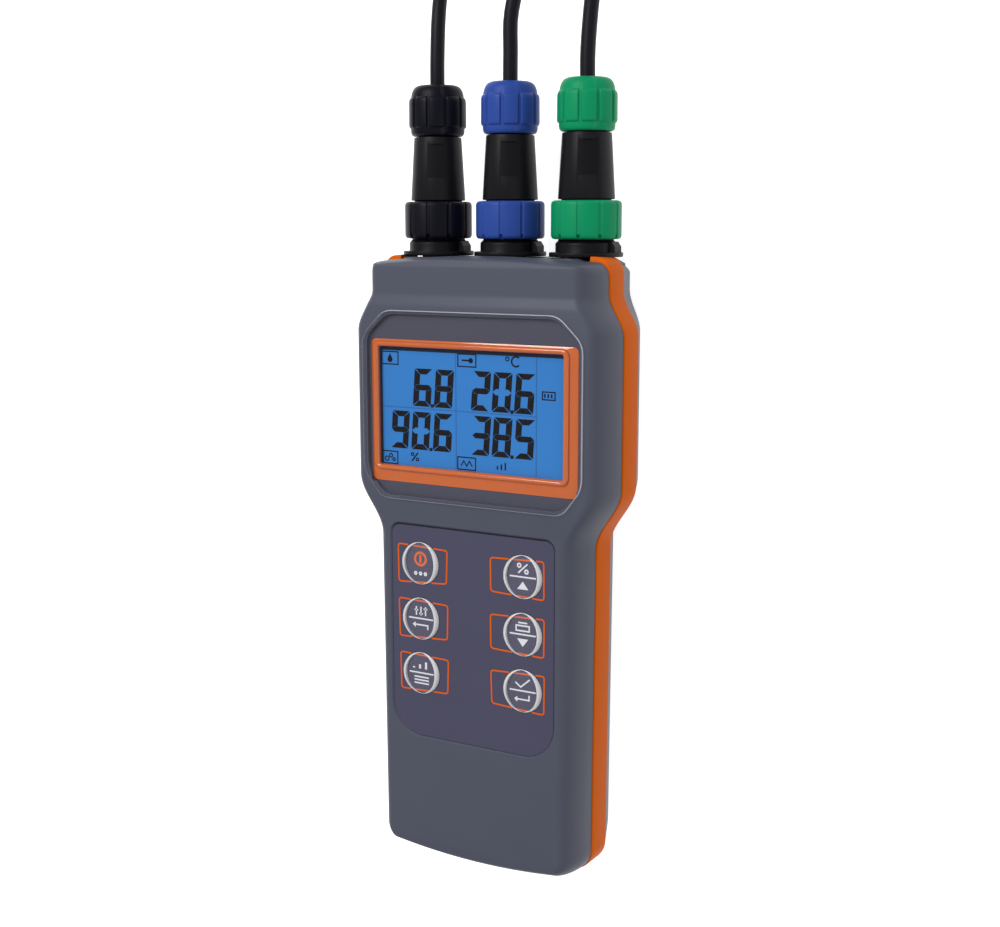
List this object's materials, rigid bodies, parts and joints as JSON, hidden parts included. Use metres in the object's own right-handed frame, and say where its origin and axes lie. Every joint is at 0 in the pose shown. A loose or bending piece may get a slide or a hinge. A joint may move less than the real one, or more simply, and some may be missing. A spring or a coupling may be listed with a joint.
{
  "type": "handheld water quality meter",
  "caption": "Waisted handheld meter with a backlit display window, round keys and a coloured mid band; screw-locked connectors on top carry probe leads, coiled, ending in probes.",
  "frame": {"origin": "on the surface it lies on, under the middle of the case with its sockets", "axes": "+Z out of the front face, +Y along the case towards the connectors, +X to the right of the keypad"},
  "size_m": [0.079, 0.4906, 0.0432],
  "materials": {
    "case_grey": "fine-textured grey moulded plastic",
    "band_orange": "soft-touch orange band, matt",
    "bezel_orange": "glossy orange moulded frame",
    "window_clear": "clear moulded window, polished",
    "display_blue": "blue backlit liquid crystal panel",
    "backlight_white": "white light guide",
    "keypad_film": "dark printed film",
    "key_clear": "clear domed key over dark film",
    "board_green": "green circuit board",
    "black_plastic": "black moulded plastic",
    "plug_blue": "blue moulded plastic",
    "plug_green": "green moulded plastic",
    "steel": "plain steel",
    "contact_metal": "plated spring strip",
    "cell_skin": "plain grey wrapped cell",
    "seal_rubber": "black seal",
    "cable_jacket": "black flexible jacket, satin",
    "probe_body": "black moulded probe body",
    "probe_guard": "moulded guard"
  },
  "bodies": {
    "meter": {"front_shell": "case_grey", "back_shell": "case_grey", "connector_panel": "case_grey", "mid_band": "band_orange", "display_bezel": "bezel_orange", "window_lens": "window_clear", "display_panel": "display_blue", "backlight_panel": "backlight_white", "keypad_overlay": "keypad_film", "main_board": "board_green", "socket_left": "black_plastic", "socket_middle": "black_plastic", "socket_right": "black_plastic", "socket_nut_left": "steel", "socket_nut_middle": "steel", "socket_nut_right": "steel", "case_screw_1": "steel", "case_screw_2": "steel", "case_screw_3": "steel", "case_screw_4": "steel", "contact_strip_low": "contact_metal", "contact_strip_high": "contact_metal", "battery_cell_1": "cell_skin", "battery_cell_2": "cell_skin", "battery_cell_3": "cell_skin"},
    "key_left_1_button": {"key_left_1": "key_clear"},
    "key_left_2_button": {"key_left_2": "key_clear"},
    "key_left_3_button": {"key_left_3": "key_clear"},
    "key_right_1_button": {"key_right_1": "key_clear"},
    "key_right_2_button": {"key_right_2": "key_clear"},
    "key_right_3_button": {"key_right_3": "key_clear"},
    "plug_left": {"plug_body_left": "black_plastic", "cable_lead_left": "cable_jacket", "cable_coil_left": "cable_jacket", "cable_tail_left": "cable_jacket", "probe_body_left": "probe_body", "probe_guard_left": "probe_guard"},
    "ring_left": {"coupling_ring_left": "black_plastic"},
    "gland_left": {"gland_nut_left": "black_plastic"},
    "plug_middle": {"plug_body_middle": "black_plastic", "cable_lead_middle": "cable_jacket", "cable_coil_middle": "cable_jacket", "cable_tail_middle": "cable_jacket", "probe_body_middle": "probe_body", "probe_guard_middle": "probe_guard"},
    "ring_middle": {"coupling_ring_middle": "plug_blue"},
    "gland_middle": {"gland_nut_middle": "plug_blue"},
    "plug_right": {"plug_body_right": "black_plastic", "cable_lead_right": "cable_jacket", "cable_coil_right": "cable_jacket", "cable_tail_right": "cable_jacket", "probe_body_right": "probe_body", "probe_guard_right": "probe_guard"},
    "ring_right": {"coupling_ring_right": "plug_green"},
    "gland_right": {"gland_nut_right": "plug_green"},
    "battery_lid": {"battery_door": "case_grey", "door_seal": "seal_rubber", "door_screw": "steel"}
  },
  "joints": [
    {"name": "key_left_1_press", "type": "slide", "parent": "meter", "child": "key_left_1_button", "axis": [0, 0, -1], "range_m": [0, 0.0006], "stiffness_N_per_m": 600, "springref_m": -0.0005},
    {"name": "key_left_2_press", "type": "slide", "parent": "meter", "child": "key_left_2_button", "axis": [0, 0, -1], "range_m": [0, 0.0006], "stiffness_N_per_m": 600, "springref_m": -0.0005},
    {"name": "key_left_3_press", "type": "slide", "parent": "meter", "child": "key_left_3_button", "axis": [0, 0, -1], "range_m": [0, 0.0006], "stiffness_N_per_m": 600, "springref_m": -0.0005},
    {"name": "key_right_1_press", "type": "slide", "parent": "meter", "child": "key_right_1_button", "axis": [0, 0, -1], "range_m": [0, 0.0006], "stiffness_N_per_m": 600, "springref_m": -0.0005},
    {"name": "key_right_2_press", "type": "slide", "parent": "meter", "child": "key_right_2_button", "axis": [0, 0, -1], "range_m": [0, 0.0006], "stiffness_N_per_m": 600, "springref_m": -0.0005},
    {"name": "key_right_3_press", "type": "slide", "parent": "meter", "child": "key_right_3_button", "axis": [0, 0, -1], "range_m": [0, 0.0006], "stiffness_N_per_m": 600, "springref_m": -0.0005},
    {"name": "plug_slide_left", "type": "slide", "parent": "meter", "child": "plug_left", "axis": [0, 1, 0], "range_m": [0, 0.003]},
    {"name": "ring_turn_left", "type": "hinge", "parent": "plug_left", "child": "ring_left", "pos_m": [-0.0231, 0.0783, 0.0201], "axis": [0, 1, 0], "range_deg": [0, 730]},
    {"name": "gland_turn_left", "type": "hinge", "parent": "plug_left", "child": "gland_left", "pos_m": [-0.0231, 0.0783, 0.0201], "axis": [0, 1, 0], "range_deg": [0, 90]},
    {"name": "plug_slide_middle", "type": "slide", "parent": "meter", "child": "plug_middle", "axis": [0, 1, 0], "range_m": [0, 0.003]},
    {"name": "ring_turn_middle", "type": "hinge", "parent": "plug_middle", "child": "ring_middle", "pos_m": [0, 0.0783, 0.0201], "axis": [0, 1, 0], "range_deg": [0, 730]},
    {"name": "gland_turn_middle", "type": "hinge", "parent": "plug_middle", "child": "gland_middle", "pos_m": [0, 0.0783, 0.0201], "axis": [0, 1, 0], "range_deg": [0, 90]},
    {"name": "plug_slide_right", "type": "slide", "parent": "meter", "child": "plug_right", "axis": [0, 1, 0], "range_m": [0, 0.003]},
    {"name": "ring_turn_right", "type": "hinge", "parent": "plug_right", "child": "ring_right", "pos_m": [0.0231, 0.0783, 0.0201], "axis": [0, 1, 0], "range_deg": [0, 730]},
    {"name": "gland_turn_right", "type": "hinge", "parent": "plug_right", "child": "gland_right", "pos_m": [0.0231, 0.0783, 0.0201], "axis": [0, 1, 0], "range_deg": [0, 90]},
    {"name": "door_lift", "type": "slide", "parent": "meter", "child": "battery_lid", "axis": [0, 0, -1], "range_m": [0, 0.02]}
  ],
  "couplings": [
    {"joint": "ring_turn_left", "follows": "plug_slide_left", "rad_per_m": 4188.8},
    {"joint": "ring_turn_middle", "follows": "plug_slide_middle", "rad_per_m": 4188.8},
    {"joint": "ring_turn_right", "follows": "plug_slide_right", "rad_per_m": 4188.8}
  ]
}
